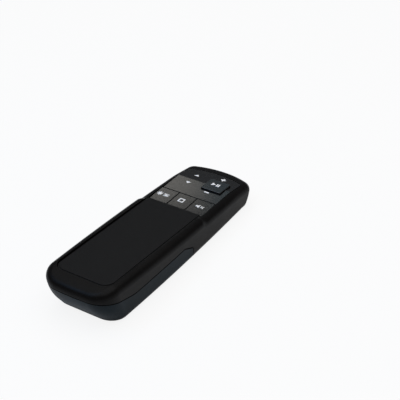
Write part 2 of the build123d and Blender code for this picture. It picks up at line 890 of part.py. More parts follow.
def lower_housing():
    """Front underside and battery tray in one moulding."""
    inner = flanks(shell_wall + fit_gap)
    room = flanks(shell_wall + fit_gap + tray_wall) - below_belly(shell_wall)
    ahead = block((-far, far), (cover_front + seam_gap, far), (-far, far))
    skin = form & parting_zone() & ahead
    tub = inner & ahead & block((-far, far), (-far, far), (0, tub_top))
    base = skin + (tub - below_belly(tub_gap)) - room
    floor_top = floor_height + tray_wall
    floor_end = cover_front + tongue_reach + tray_wall
    across = (-tray_half, tray_half)
    front_wall = block(across, (bay_front, tray_front), (floor_height, tray_ceiling + tray_wall))
    floor = block(across, (bay_front, floor_end + tray_wall), (floor_height, floor_top))
    riser_x = (-tray_half + keeper_wall, tray_half - keeper_wall)
    riser = block(riser_x, (floor_end, floor_end + tray_wall), (parting_foot, floor_top))
    housing = base + battery_tray(inner) + front_wall + floor + riser
    tongue_room = tongue_half + fit_gap
    slot_z = (tongue_foot - fit_gap, tongue_foot + tongue_thickness + fit_gap)
    keeper_x = (-tongue_half - keeper_wall, tongue_half + keeper_wall)
    keeper_y = (cover_front + keeper_setback, floor_end + tray_wall)
    housing += block(keeper_x, keeper_y, (slot_z[1], floor_top))
    slot_y = (cover_front, cover_front + tongue_reach + fit_gap)
    housing -= block((-tongue_room, tongue_room), slot_y, slot_z)
    housing -= laser_rod(barrel_front, collar_d + 2 * fit_gap, far)
    for y in (barrel_rear + saddle_rear, barrel_front - saddle_front):
        saddle_x = (laser_x - saddle_half, laser_x + saddle_half)
        housing += block(saddle_x, (y, y + saddle_length), (pillar_root, laser_z))
    housing -= laser_rod(barrel_rear, barrel_d + 2 * touch_gap, barrel_length)
    pillar_rear = board_rear + pillar_setback
    pillar_front = plate_front - nose_pillar_setback
    for x, y in ((-pillar_x, pillar_rear), (pillar_x, pillar_rear), (nose_pillar_x, pillar_front)):
        top = deck_z(y + pillar_d / 2, board_underside) - touch_gap
        housing += rod(x, y, pillar_root, pillar_d, top - pillar_root)
    for spot in hook_spots:
        end = hook_end(spot)
        hook_x = (spot - hook_width / 2, spot + hook_width / 2)
        hook_y = (end - hook_root, end + hook_reach - fit_gap)
        housing += block(hook_x, hook_y, (hook_z, hook_z + hook_height))
    for x, y, seat in case_screw_spots:
        housing -= rod(x, y, seat, case_screw_d + 2 * screw_clearance, tray_wall)
    half_w = tab_width / 2 + tab_side_gap
    half_h = tab_thickness / 2 + tab_height_gap
    tab_z = (tray_ceiling - tab_drop - half_h, tray_ceiling - tab_drop + half_h)
    for x in (-cell_axis_x, cell_axis_x):
        housing -= block((x - half_w, x + half_w), (bay_front, tray_front), tab_z)
    return housing


def battery_cover():
    """Sliding cover: underside, flanks and tail up to the seam, with ribs that hang on the tray's rails."""
    inner = flanks(cover_wall) - below_belly(cover_wall)
    outside = flanks(cover_wall / 2) & cover_zone()
    cover = (form & cover_zone()) - inner
    foot = rail_foot + rail_height + fit_gap
    rib_y = (tray_rear + cover_rib_setback, tray_front - 2 * cover_top_setback)
    for side in (-1, 1):
        rib_x = sorted((side * (tray_half + cover_rib_gap), side * far))
        cover += block(rib_x, rib_y, (foot, foot + cover_rib_height)) & outside
    cover += block(
        (-tongue_half, tongue_half),
        (cover_front - tongue_root, cover_front + tongue_reach),
        (tongue_foot, tongue_foot + tongue_thickness),
    )
    pad = RectangleRounded(grip_width, grip_length, grip_corner)
    cover -= extrude(Pos(0, grip_y, -far) * pad, far + grip_depth)
    for step in range(grip_rib_count):
        y = grip_y + (step - (grip_rib_count - 1) / 2) * grip_rib_pitch
        rib_y = (y - grip_rib_half, y + grip_rib_half)
        rib_z = (grip_rib_foot, grip_rib_foot + grip_depth)
        cover += block((-grip_rib_reach, grip_rib_reach), rib_y, rib_z)
    return cover


def cell(x, forward):
    """One AAA cell lying along the body, its nub towards the nose or the tail."""
    can_length = cell_length - cell_nub_length
    sleeve = rod(0, 0, 0, cell_d, can_length)
    sleeve = chamfer(sleeve.edges().filter_by(GeomType.CIRCLE), cell_edge)
    body = sleeve + rod(0, 0, can_length, cell_nub_d, cell_nub_length)
    setback = contact_thickness + dimple_length + cell_end_gap
    if forward:
        return Pos(x, bay_front - setback - cell_length, cell_axis_z) * Rot(-90, 0, 0) * body
    return Pos(x, bay_rear + setback + cell_length, cell_axis_z) * Rot(90, 0, 0) * body


def contact_plate(x_range, wall_y, toward):
    """Contact plate against an end wall of the bay."""
    y = sorted((wall_y, wall_y + toward * contact_thickness))
    return block(x_range, y, (cell_axis_z - contact_half, cell_axis_z + contact_half))


def contact_dimple(x, wall_y, toward):
    """Pressed dimple where a contact plate meets a nub."""
    return rod(x, wall_y, cell_axis_z, dimple_d, contact_thickness + dimple_length, (0, toward, 0))


def contact_tab(x):
    """Solder tab that reaches through the bay's front wall."""
    across = (x - tab_width / 2, x + tab_width / 2)
    along = (bay_front - contact_thickness, tray_front + tab_reach)
    z = tray_ceiling - tab_drop
    return block(across, along, (z - tab_thickness / 2, z + tab_thickness / 2))


def bridge_contact():
    plate = contact_plate((-cell_axis_x - contact_half, cell_axis_x + contact_half), bay_rear, 1)
    return plate + contact_dimple(cell_axis_x, bay_rear, 1)


def positive_contact():
    plate = contact_plate((-cell_axis_x - contact_half, -cell_axis_x + contact_half), bay_front, -1)
    return plate + contact_dimple(-cell_axis_x, bay_front, -1) + contact_tab(-cell_axis_x)


def negative_contact():
    plate = contact_plate((cell_axis_x - contact_half, cell_axis_x + contact_half), bay_front, -1)
    return plate + contact_tab(cell_axis_x)


def contact_spring(x, wall_y, toward):
    """Conical coil spring between a contact plate and the flat end of a cell."""
    height = spring_length - spring_wire_d
    cone = -degrees(atan2(spring_base_r - spring_tip_r, height))
    path = Helix(height / spring_turns, height, spring_base_r, cone_angle=cone)
    section = Plane(origin=path @ 0, z_dir=path % 0) * RegularPolygon(spring_wire_d / 2, 8)
    coil = sweep(section, path=path)
    start = wall_y + toward * (contact_thickness + spring_wire_d / 2 + touch_gap)
    return Pos(x, start, cell_axis_z) * Rot(-90 * toward, 0, 0) * coil


def contact_springs():
    return [contact_spring(-cell_axis_x, bay_rear, 1), contact_spring(cell_axis_x, bay_front, -1)]


def case_screws():
    """Four self-tapping screws from the battery bay into the upper housing's bosses."""
    screws = []
    for x, y, seat in case_screw_spots:
        head = rod(x, y, seat, case_screw_head_d, case_screw_head_height, (0, 0, -1))
        head = chamfer(head.faces().sort_by(Axis.Z)[0].edges(), head_edge)
        shank = rod(x, y, seat, case_screw_core_d, case_screw_length)
        screws.append(head + shank)
    return screws


# ---- Stowed receiver, on its edge in the pocket beside the left cell ----

receiver_x = -(pocket_outer + pocket_inner) / 2
receiver_foot = cover_wall + cell_floor_gap
receiver_rear = tray_rear + receiver_setback
receiver_joint = receiver_rear + receiver_body_length


def receiver_body():
    half = receiver_thickness / 2
    across = (receiver_x - half, receiver_x + half)
    shell = block(across, (receiver_rear, receiver_joint), (receiver_foot, receiver_foot + receiver_width))
    return fillet(shell.edges().filter_by(Axis.Y), receiver_edge)


def receiver_plug():
    """Metal sleeve of the plug, hollow from its mouth."""
    half = receiver_thickness / 2 - plug_inset
    low = receiver_foot + plug_edge_inset
    high = receiver_foot + receiver_width - plug_edge_inset
    mouth = receiver_joint + receiver_plug_length
    sleeve = block((receiver_x - half, receiver_x + half), (receiver_joint, mouth), (low, high))
    half -= plug_wall
    hollow_y = (receiver_joint + plug_floor, mouth)
    return sleeve - block((receiver_x - half, receiver_x + half), hollow_y, (low + plug_wall, high - plug_wall))


parts = {
    "upper_housing": upper_housing(),
    "lower_housing": lower_housing(),
    "battery_cover": battery_cover(),
    "palm_panel": palm_panel(),
    "key_frame": key_frame(),
    "rocker_plate": rocker_plate(),
    "rocker_cradle": rocker_cradle(),
    "play_key": play_key(),
    "pointer_key": row_key(-key_pitch),
    "stop_key": row_key(0),
    "mute_key": row_key(key_pitch),
    "pointer_key_plunger": on_deck(plunger(-key_pitch, row_middle)),
    "stop_key_plunger": on_deck(plunger(0, row_middle)),
    "mute_key_plunger": on_deck(plunger(key_pitch, row_middle)),
    "play_key_plunger": on_deck(plunger(play_x, ridge_y)),
    "rocker_plungers": [on_deck(plunger(x, y)) for x, y in rocker_switch_spots],
    "switch_bodies": [on_deck(switch_body(x, y)) for x, y in key_switch_spots + rocker_switch_spots],
    "circuit_board": circuit_board(),
    "main_chip": chip(*main_chip_size),
    "radio_chip": chip(*radio_chip_size),
    "crystal_can": chip(*crystal_size),
    "board_screws": board_screws(),
    "laser_barrel": laser_barrel(),
    "laser_lens": laser_lens(),
    "laser_diode": laser_diode(),
    "laser_window": laser_window(),
    "laser_leads": laser_leads(),
    "left_cell": cell(-cell_axis_x, True),
    "right_cell": cell(cell_axis_x, False),
    "bridge_contact": bridge_contact(),
    "positive_contact": positive_contact(),
    "negative_contact": negative_contact(),
    "contact_springs": contact_springs(),
    "case_screws": case_screws(),
    "receiver_body": receiver_body(),
    "receiver_plug": receiver_plug(),
}

os.makedirs("parts", exist_ok=True)
for name, shape in parts.items():
    solid = Compound(children=list(shape)) if isinstance(shape, list) else shape
    export_step(solid, f"parts/{name}.step")
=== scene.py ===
from math import cos, hypot, pi, radians, sin, tan

import bmesh
import bpy
import numpy as np
from mathutils import Matrix, Quaternion, Vector


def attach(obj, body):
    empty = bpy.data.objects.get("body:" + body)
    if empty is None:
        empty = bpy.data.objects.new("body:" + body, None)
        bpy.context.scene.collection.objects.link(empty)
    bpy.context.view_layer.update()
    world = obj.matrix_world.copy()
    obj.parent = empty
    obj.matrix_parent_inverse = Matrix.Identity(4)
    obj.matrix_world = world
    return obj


# Wireless presentation clicker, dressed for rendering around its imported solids: +Y towards the nose, +Z up.
# The object's own sizes are in millimetres. The stage, with its lamps, is in metres.

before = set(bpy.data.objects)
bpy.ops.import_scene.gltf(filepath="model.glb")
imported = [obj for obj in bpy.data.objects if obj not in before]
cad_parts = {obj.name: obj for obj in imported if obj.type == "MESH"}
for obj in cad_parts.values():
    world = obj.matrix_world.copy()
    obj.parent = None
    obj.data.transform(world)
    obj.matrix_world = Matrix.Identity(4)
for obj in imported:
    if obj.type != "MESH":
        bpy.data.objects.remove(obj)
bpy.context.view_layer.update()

MM = 0.001
MEETING_DISTANCE = 1e-7

# ---- The deck: the tilted plane that the keys and the palm panel lie parallel to ----
DECK_HEIGHT = 18.5
DECK_SHIFT = -0.76
DECK_TILT = radians(3.8)


def tilted(points):
    """Turns points or directions nose-down by the deck's tilt about X."""
    x, y, z = np.moveaxis(np.asarray(points, float), -1, 0)
    c, s = cos(DECK_TILT), sin(DECK_TILT)
    return np.stack([x, y * c + z * s, z * c - y * s], axis=-1)


def on_deck(points):
    """Carries points from the deck's own frame to the stage: tilted, shifted along, lifted, put in metres."""
    return (tilted(points) + np.array([0.0, DECK_SHIFT, DECK_HEIGHT])) * MM


# ---- Meshes from arrays ----


def sheets_mesh(name, sheets):
    """A mesh of quads over sheets of points, each given with whether its last column runs on into its first.

    sheet[i, j] is the point at the i-th u and the j-th v, and a quad joins it to those at i + 1 and at j + 1.
    """
    points, quads, first = [], [], 0
    for sheet, closed in sheets:
        rows, cols = sheet.shape[:2]
        i, j = np.meshgrid(np.arange(rows - 1), np.arange(cols if closed else cols - 1), indexing="ij")
        beside = (j + 1) % cols
        corners = [i * cols + j, (i + 1) * cols + j, (i + 1) * cols + beside, i * cols + beside]
        quads.append(first + np.stack(corners, axis=-1).reshape(-1, 4))
        points.append(sheet.reshape(-1, 3))
        first += rows * cols
    return quad_mesh(name, np.vstack(points), np.vstack(quads))


def quad_mesh(name, points, quads):
    """A mesh from points and quads; points that meet, as at a pole, become one."""
    mesh = bpy.data.meshes.new(name)
    mesh.vertices.add(len(points))
    mesh.vertices.foreach_set("co", np.ascontiguousarray(points, dtype=np.float32).ravel())
    mesh.loops.add(quads.size)
    mesh.loops.foreach_set("vertex_index", quads.ravel().astype(np.int32))
    mesh.polygons.add(len(quads))
    mesh.polygons.foreach_set("loop_start", np.arange(0, quads.size, 4, dtype=np.int32))
    mesh.update(calc_edges=True)
    joined = bmesh.new()
    joined.from_mesh(mesh)
    bmesh.ops.remove_doubles(joined, verts=joined.verts, dist=MEETING_DISTANCE)
    joined.to_mesh(mesh)
    joined.free()
    return mesh


def capped(rings, start=None, end=None):
    """Rings with one more ring at either end whose points all meet, in the end ring's mean or where given."""
    start = rings[0].mean(axis=0) if start is None else start
    end = rings[-1].mean(axis=0) if end is None else end
    one_ring = rings[:1].shape
    return np.concatenate([np.broadcast_to(start, one_ring), rings, np.broadcast_to(end, one_ring)])


def piece(name, mesh, material, body):
    """A finished piece: it rides on a body and takes its finish from a slot."""
    thing = bpy.data.objects.new(name, mesh)
    bpy.context.scene.collection.objects.link(thing)
    thing.data.materials.append(material)
    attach(thing, body)
    return thing


# ---- Shader sums ----


class Sum:
    """A socket in a material, wrapped so that shader sums read as Python sums."""

    def __init__(self, finish, socket):
        self.finish = finish
        self.socket = socket

    def __add__(self, other):
        return self.finish.math("ADD", self, other)

    def __sub__(self, other):
        return self.finish.math("SUBTRACT", self, other)

    def __rsub__(self, other):
        return self.finish.math("SUBTRACT", other, self)

    def __mul__(self, other):
        return self.finish.math("MULTIPLY", self, other)

    def __abs__(self):
        return self.finish.math("ABSOLUTE", self)

    __radd__ = __add__
    __rmul__ = __mul__


class Finish:
    """The nodes of a material, or of the world, while they are put together."""

    def __init__(self, name, world=False):
        self.owner = (bpy.data.worlds if world else bpy.data.materials).new(name)
        self.owner.use_nodes = True
        self.tree = self.owner.node_tree
        self.tree.nodes.clear()
        self.out = self.tree.nodes.new("ShaderNodeOutputWorld" if world else "ShaderNodeOutputMaterial")

    def node(self, kind, settings, values, output=0):
        """Adds one node: its type, its settings, then the values or links of its sockets."""
        made = self.tree.nodes.new("ShaderNode" + kind)
        for key, value in settings.items():
            setattr(made, key, value)
        for key, value in values.items():
            if isinstance(value, Sum):
                self.tree.links.new(value.socket, made.inputs[key])
            else:
                made.inputs[key].default_value = value
        return Sum(self, made.outputs[output])

    def math(self, operation, *terms):
        """One step of a sum over values or sockets."""
        return self.node("Math", {"operation": operation}, dict(enumerate(terms)))

    def point(self):
        """The point on the piece, in its own coordinates."""
        return self.node("TexCoord", {}, {}, "Object")

    def along(self, axis):
        """One coordinate of the point on the piece, in millimetres."""
        return self.node("SeparateXYZ", {}, {0: self.point()}, axis) * (1 / MM)

    def stretched(self, scale=(1, 1, 1), turn=(0, 0, 0)):
        """The point on the piece, scaled and turned for a pattern that runs one way."""
        return self.node("Mapping", {}, {"Vector": self.point(), "Scale": scale, "Rotation": turn})

    def noise(self, size, detail=2.0, roughness=0.5, at=None):
        """Cloudy patches between 0 and 1, of about the given size in millimetres."""
        scale = 1 / (size * MM)
        values = {"Vector": at or self.point(), "Scale": scale, "Detail": detail, "Roughness": roughness}
        return self.node("TexNoise", {}, values)

    def pits(self, size):
        """Round pits of about the given size: the distance from each pit's middle."""
        return self.node("TexVoronoi", {}, {"Vector": self.point(), "Scale": 1 / (size * MM)}, "Distance")

    def mix(self, factor, a, b):
        """Goes from one colour to the other as the factor goes from 0 to 1."""
        return self.node("Mix", {"data_type": "RGBA"}, {0: factor, 6: rgba(a), 7: rgba(b)}, 2)

    def span(self, value, low, high, to_low, to_high):
        """Carries a value from one span to another and keeps it inside."""
        return self.node("MapRange", {}, {0: value, 1: low, 2: high, 3: to_low, 4: to_high})

    def sway(self, noise, low, high):
        """Carries a noise's usual values, from 0.3 to 0.7, to a span."""
        return self.span(noise, 0.3, 0.7, low, high)

    def bump(self, height, depth):
        """Tilts the surface as if a height pattern of 0 to 1 were as deep as given, in millimetres."""
        return self.node("Bump", {}, {"Height": height, "Distance": depth * MM, "Strength": 1.0})

    def skin(self, **values):
        """Ends the material with the surface shader, fed by name."""
        names = {key.replace("_", " ").title().replace("Ior", "IOR"): value for key, value in values.items()}
        names["Base Color"] = rgba(names["Base Color"])
        return self.surface(self.node("BsdfPrincipled", {}, names))

    def surface(self, shader):
        """Shows a shader on the surface and hands back the finished material or world."""
        self.tree.links.new(shader.socket, self.out.inputs["Surface"])
        return self.owner


def rgba(colour):
    """A colour with full cover added, or a socket as it is."""
    return colour if isinstance(colour, Sum) else (*colour, 1.0)


def shaded(colour, share):
    """A colour made darker or lighter."""
    return tuple(share * part for part in colour)


# ---- Finishes ----
# The cover's edge from the side: a seam, level and then climbing to the tail, and a ramp to the front end.
SEAM_HEIGHT = 11.6
SEAM_RISE_Y = -44.8
SEAM_RISE = radians(14)
SEAM_BEND = 2.46
RAMP_TOP_Y = -3.5
RAMP_FOOT_Y = 4.2
RAMP_FOOT_Z = 7.8
# Painted shade: a near-black line of this width along the cover's seam stands for the shadow in the seam's
# gap.
SEAM_SHADE_WIDTH = 0.45
SEAM_SHADE_BLACK = (0.0015, 0.0015, 0.0015)
# The case plastic's dark tone, with a blue cast that is painted light: the cool light that falls on the lower
# body and cover.
CASE_TONE_AND_PAINTED_BLUE_LIGHT = (0.0062, 0.0122, 0.0165)
CELL_BAND_Y = -15.9


def moulded(name, colour, gloss, grain=0.35, shine=0.4, tone=0.25, painted_seam_shade=None):
    """Moulded plastic: a spark-eroded grain, slow drifts in tone and a little handling polish.

    Where a seam shade is given, it is the function that places a line of painted shade on the skin, standing
    for the shadow in a seam's gap.
    """
    f = Finish(name)
    drift = f.noise(14, 3.0)
    speck = f.noise(0.5)
    tint = f.mix(f.sway(drift * 0.6 + speck * 0.4, 0, 1), shaded(colour, 1 - tone), shaded(colour, 1 + tone))
    rough = f.sway(f.noise(9), gloss - 0.04, gloss + 0.04)
    normal = f.bump(f.noise(grain, 2.0, 0.6), 0.012)
    if painted_seam_shade:
        # Painted shade: near black and fully rough along the line, so no sheen shows where the gap's shadow
        # is.
        seam_shade_mask = painted_seam_shade(f)
        tint = f.mix(seam_shade_mask, tint, SEAM_SHADE_BLACK)
        rough = rough + (1 - rough) * seam_shade_mask
    return f.skin(base_color=tint, roughness=rough, normal=normal, specular_ior_level=shine)


def textured_panel(name, colour):
    """The palm panel: a coarse leather-like stipple with a dusty, matte face."""
    f = Finish(name)
    fine = f.noise(0.4, 3.0, 0.6)
    blotch = f.noise(5, 3.0, 0.6)
    tint = f.mix(f.sway(blotch * 0.6 + fine * 0.4, 0, 1), shaded(colour, 0.75), shaded(colour, 1.3))
    rough = f.sway(blotch, 0.60, 0.66)
    height = f.span(f.pits(0.9), 0.0, 0.6, 0, 1) * 0.7 + fine * 0.5
    return f.skin(base_color=tint, roughness=rough, normal=f.bump(height, 0.03), specular_ior_level=0.15)


def satin_key(name, colour):
    """Satin key caps: a fine grain, brushed from side to side."""
    f = Finish(name)
    streak = f.noise(0.35, 3.0, 0.55, f.stretched(scale=(0.35, 1, 1)))
    drift = f.noise(7)
    tint = f.mix(f.sway(drift * 0.5 + streak * 0.5, 0, 1), shaded(colour, 0.8), shaded(colour, 1.25))
    rough = f.sway(streak, 0.17, 0.21)
    return f.skin(base_color=tint, roughness=rough, normal=f.bump(streak, 0.006), specular_ior_level=0.6)


def metal(name, colour, gloss, streaks=(1, 1, 1)):
    """Plated or turned metal: fine tool marks and a faint tarnish."""
    f = Finish(name)
    tool = f.noise(0.15, 3.0, 0.6, f.stretched(scale=streaks))
    tint = f.mix(f.span(f.noise(3, 3.0), 0.35, 0.7, 0, 1), colour, shaded(colour, 0.72))
    rough = f.sway(tool, gloss - 0.06, gloss + 0.08)
    return f.skin(base_color=tint, roughness=rough, metallic=1.0, normal=f.bump(tool, 0.004))


def solder_mask(name, colour):
    """Circuit board: copper tracks that run aslant under the solder mask."""
    f = Finish(name)
    blank, track = (0, 0, 0, 1), (1, 1, 1, 1)
    tracks = f.node("TexBrick", {"offset": 0.35}, {
        "Vector": f.stretched(turn=(0, 0, radians(45))), "Scale": 420.0, "Mortar Size": 0.09,
        "Color1": blank, "Color2": blank, "Mortar": track, "Brick Width": 1.1, "Row Height": 0.45,
    })
    tint = f.mix(tracks, colour, shaded(colour, 1.9))
    rough = f.sway(f.noise(0.3), 0.24, 0.34)
    return f.skin(base_color=tint, roughness=rough, normal=f.bump(tracks, 0.03), specular_ior_level=0.5)


def cell_wrap(name):
    """Printed sleeve of a cell: a dark body, a copper band at the nub end and fine scuffs."""
    f = Finish(name)
    scuff = f.noise(1.2, 4.0, 0.7)
    band = f.math("GREATER_THAN", f.along("Y"), CELL_BAND_Y)
    tint = f.mix(band, (0.025, 0.03, 0.04), (0.45, 0.2, 0.07))
    tint = f.mix(f.span(scuff, 0.62, 0.75, 0, 0.25), tint, (0.3, 0.3, 0.3))
    rough = f.sway(scuff, 0.2, 0.32)
    return f.skin(base_color=tint, roughness=rough, normal=f.bump(scuff, 0.006), specular_ior_level=0.5)


def clear_window(name):
    """Clear moulded window: a faint cool tint and a little haze."""
    f = Finish(name)
    rough = f.sway(f.noise(0.6), 0.03, 0.07)
    return f.skin(base_color=(0.9, 0.93, 0.95), roughness=rough, transmission_weight=0.9, ior=1.49)


def print_ink(name, colour):
    """Pad-printed ink: slightly uneven in cover, semi-matte."""
    f = Finish(name)
    grain = f.noise(0.25, 3.0, 0.6)
    tint = f.mix(f.sway(grain, 0, 1), shaded(colour, 0.93), colour)
    rough = f.sway(grain, 0.42, 0.5)
    return f.skin(base_color=tint, roughness=rough, normal=f.bump(grain, 0.004), specular_ior_level=0.4)


def cover_seam_shade(f):
    """Painted shade: one within a line's width of the cover's edge, where the seam's gap is in shadow, else
    nought.

    The edge is the nearest of the seam, the ramp and the front end. The seam is level, bends by a parabola
    over twice the bend's length, and climbs at the rise's angle. The rails above keep the skin's own colour.
    """
    y, z = f.along("Y"), f.along("Z")
    behind = SEAM_RISE_Y + SEAM_BEND - y
    bent = f.span(behind, 0, 2 * SEAM_BEND, 0, 1)
    straight = f.math("MAXIMUM", behind - 2 * SEAM_BEND, 0)
    seam = SEAM_HEIGHT + tan(SEAM_RISE) * (bent * bent * SEAM_BEND + straight)
    run, drop = RAMP_FOOT_Y - RAMP_TOP_Y, SEAM_HEIGHT - RAMP_FOOT_Z
    length = hypot(run, drop)
    ramp = (RAMP_TOP_Y - y) * (drop / length) + (SEAM_HEIGHT - z) * (run / length)
    edge = f.math("MINIMUM", f.math("MINIMUM", seam - z, ramp), RAMP_FOOT_Y - y)
    return f.span(abs(edge), 0.8 * SEAM_SHADE_WIDTH, SEAM_SHADE_WIDTH, 1, 0)


soft_black = moulded("soft_black", (0.0046, 0.0041, 0.0038), 0.36, shine=0.08)
# The lower body and the cover carry the case tone's painted blue light.
case_black = moulded("case_black", CASE_TONE_AND_PAINTED_BLUE_LIGHT, 0.38, shine=0.075)
# The cover's finish carries the painted shade along its seam.
cover_black = moulded("cover_black", CASE_TONE_AND_PAINTED_BLUE_LIGHT, 0.38, shine=0.075, painted_seam_shade=cover_seam_shade)
panel_black = textured_panel("panel_black", (0.0060, 0.0058, 0.0057))
key_black = satin_key("key_black", (0.0050, 0.0047, 0.0046))
frame_black = moulded("frame_black", (0.006, 0.006, 0.006), 0.6, shine=0.2)
frame_grey = moulded("frame_grey", (0.22, 0.22, 0.23), 0.5)
plunger_white = moulded("plunger_white", (0.72, 0.70, 0.64), 0.35, tone=0.06)
switch_metal = metal("switch_metal", (0.62, 0.62, 0.63), 0.3)
board_green = solder_mask("board_green", (0.012, 0.085, 0.03))
chip_black = moulded("chip_black", (0.02, 0.02, 0.02), 0.5, grain=0.15)
screw_steel = metal("screw_steel", (0.5, 0.5, 0.52), 0.28)
barrel_brass = metal("barrel_brass", (0.72, 0.52, 0.22), 0.26, streaks=(1, 4, 1))
lens_clear = clear_window("lens_clear")
lead_red = moulded("lead_red", (0.5, 0.03, 0.02), 0.4, tone=0.1)
cell_sleeve = cell_wrap("cell_wrap")
contact_nickel = metal("contact_nickel", (0.70, 0.68, 0.62), 0.22)
ink_white = print_ink("ink_white", (0.93, 0.93, 0.93))

node_finish = {
    "upper_housing": soft_black,
    "lower_housing": case_black,
    "battery_cover": cover_black,
    "palm_panel": panel_black,
    "key_frame": frame_black,
    "rocker_plate": key_black,
    "rocker_cradle": frame_grey,
    "play_key": key_black,
    "pointer_key": key_black,
    "stop_key": key_black,
    "mute_key": key_black,
    "pointer_key_plunger": plunger_white,
    "stop_key_plunger": plunger_white,
    "mute_key_plunger": plunger_white,
    "play_key_plunger": plunger_white,
    "rocker_plungers": plunger_white,
    "switch_bodies": switch_metal,
    "circuit_board": board_green,
    "main_chip": chip_black,
    "radio_chip": chip_black,
    "crystal_can": switch_metal,
    "board_screws": screw_steel,
    "laser_barrel": barrel_brass,
    "laser_lens": lens_clear,
    "laser_diode": barrel_brass,
    "laser_window": lens_clear,
    "laser_leads": lead_red,
    "left_cell": cell_sleeve,
    "right_cell": cell_sleeve,
    "bridge_contact": contact_nickel,
    "positive_contact": contact_nickel,
    "negative_contact": contact_nickel,
    "contact_springs": contact_nickel,
    "case_screws": screw_steel,
    "receiver_body": case_black,
    "receiver_plug": contact_nickel,
}
for node, finish in node_finish.items():
    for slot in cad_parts[node].material_slots:
        slot.material = finish

# ---- The raised textured field of the palm panel ----
PANEL_HALF = 17.0
PANEL_REAR = -58.8
PANEL_FRONT = 19.2
PANEL_CORNER = 6.5
FIELD_BORDER = 1.15
FIELD_FRONT_BORDER = 0.25
FIELD_RISE = 0.42
FIELD_SINK = 0.1
FIELD_EDGE = 0.12
FIELD_CROWN_INSET = 1.0
FIELD_CORNER_POINTS = 16
FIELD_EDGE_POINTS = 5


def field_plan(inset):
    """Plan of the field, moved in by the inset: straight sides, square in front, quarter circles behind."""
    half, rear, corner = PANEL_HALF - inset, PANEL_REAR + inset, PANEL_CORNER - inset
    front = PANEL_FRONT - inset + FIELD_BORDER - FIELD_FRONT_BORDER
    turn = np.linspace(0, pi / 2, FIELD_CORNER_POINTS)
    right = np.stack([half - corner + corner * np.sin(turn), rear + corner - corner * np.cos(turn)], axis=1)
    left = right[::-1] * np.array([-1, 1])
    return np.vstack([right, [[half, front], [-half, front]], left])


def palm_texture_field():
    """A closed slab: as the plan is drawn in, its height follows a quarter circle round the top edge."""
    turn = np.linspace(0, pi / 2, FIELD_EDGE_POINTS)
    insets = [0, *FIELD_EDGE * (1 - np.cos(turn)), FIELD_CROWN_INSET]
    heights = [-FIELD_SINK, *FIELD_RISE - FIELD_EDGE * (1 - np.sin(turn)), FIELD_RISE]
    rings = np.stack([np.insert(field_plan(FIELD_BORDER + inset), 2, height, axis=1)
                      for inset, height in zip(insets, heights)])
    middle = (PANEL_REAR + PANEL_FRONT) / 2
    slab = capped(rings, (0, middle, -FIELD_SINK), (0, middle, FIELD_RISE))
    mesh = sheets_mesh("palm_texture_field", [(on_deck(slab), True)])
    mesh.flip_normals()
    return piece("palm_texture_field", mesh, panel_black, "housing")


palm_texture_field()

# ---- The cover's front lip, which closes the seam under the body ----
SEAM_STATION = 5.2
LIP_CLEARANCE = 0.05
LIP_REAR = 4.0
LIP_GROOVE = 0.4
LIP_WALL = 0.6
LIP_SWEEP = radians(36)
LIP_ARC_POINTS = 7
BOTTOM_CORNER = 4.4
BOTTOM_CORNER_X = 16.7


def underside_section(radius):
    """X and Z across the underside: a flat run between two arcs about the centres of the bottom corners."""
    turn = np.linspace(0, LIP_SWEEP, LIP_ARC_POINTS)
    right = np.stack([BOTTOM_CORNER_X + radius * np.sin(turn), BOTTOM_CORNER - radius * np.cos(turn)], axis=1)
    left = right[::-1] * np.array([-1, 1])
    return np.vstack([left, right])


def cover_front_lip():
    """A strip round the underside: its profile is a box between a section at the groove and one a wall in."""
    outer = underside_section(BOTTOM_CORNER - LIP_GROOVE)
    inner = underside_section(BOTTOM_CORNER - LIP_GROOVE - LIP_WALL)
    front = SEAM_STATION - LIP_CLEARANCE
    corners = [(outer, LIP_REAR), (outer, front), (inner, front), (inner, LIP_REAR)]
    rings = np.stack([np.insert(section, 1, y, axis=1) for section, y in corners], axis=1)
    mesh = sheets_mesh("cover_front_lip", [(capped(rings) * MM, True)])
    mesh.flip_normals()
    return piece("cover_front_lip", mesh, case_black, "cover")


cover_front_lip()

# ---- The rocker plate: its face falls away from a ridge, and a dark strip of painted shade runs along its rear, for the shadow in the gap there ----
RIDGE_Y = 47.7
RIDGE_Z = 0.15
REAR_SLOPE = radians(2.54)
FRONT_SLOPE = radians(-5.3)
PLATE_HALF = 16.7
PLATE_REAR = 33.05
PLATE_REAR_Z = -0.5
SHADE_STRIP_WIDTH = 0.5
SHADE_STRIP_RISE = 0.02
SHADE_STRIP_ARCH_POINTS = 7
SHADE_STRIP_STATIONS = 5


def rocker_rear_shade_strip():
    """A low dark strip across the plate, painted shade for the gap's shadow at its rear edge: its profile is
    half an ellipse on the sloped face, carried along X.
    """
    share = np.linspace(0, 1, SHADE_STRIP_ARCH_POINTS)
    y = PLATE_REAR + SHADE_STRIP_WIDTH * share
    face = PLATE_REAR_Z + SHADE_STRIP_WIDTH * share * tan(REAR_SLOPE)
    over = np.stack([y, face + SHADE_STRIP_RISE * (4 * share * (1 - share)) ** 0.5], axis=1)
    under = np.insert(y[::-1, None], 1, PLATE_REAR_Z - SHADE_STRIP_RISE, axis=1)
    profile = np.vstack([over, under])
    rings = np.stack([np.insert(profile, 0, x, axis=1)
                      for x in np.linspace(-PLATE_HALF, PLATE_HALF, SHADE_STRIP_STATIONS)])
    mesh = sheets_mesh("rocker_rear_shade_strip", [(on_deck(capped(rings)), True)])
    # Painted shade: the dull housing black makes the strip read as the shadow in the gap.
    return piece("rocker_rear_shade_strip", mesh, soft_black, "rocker")


rocker_rear_shade_strip()

# ---- Printed symbols on the keys ----
PRINT_LIFT = 0.02
PRINT_THICKNESS = 0.03
PATCH_RINGS = 3


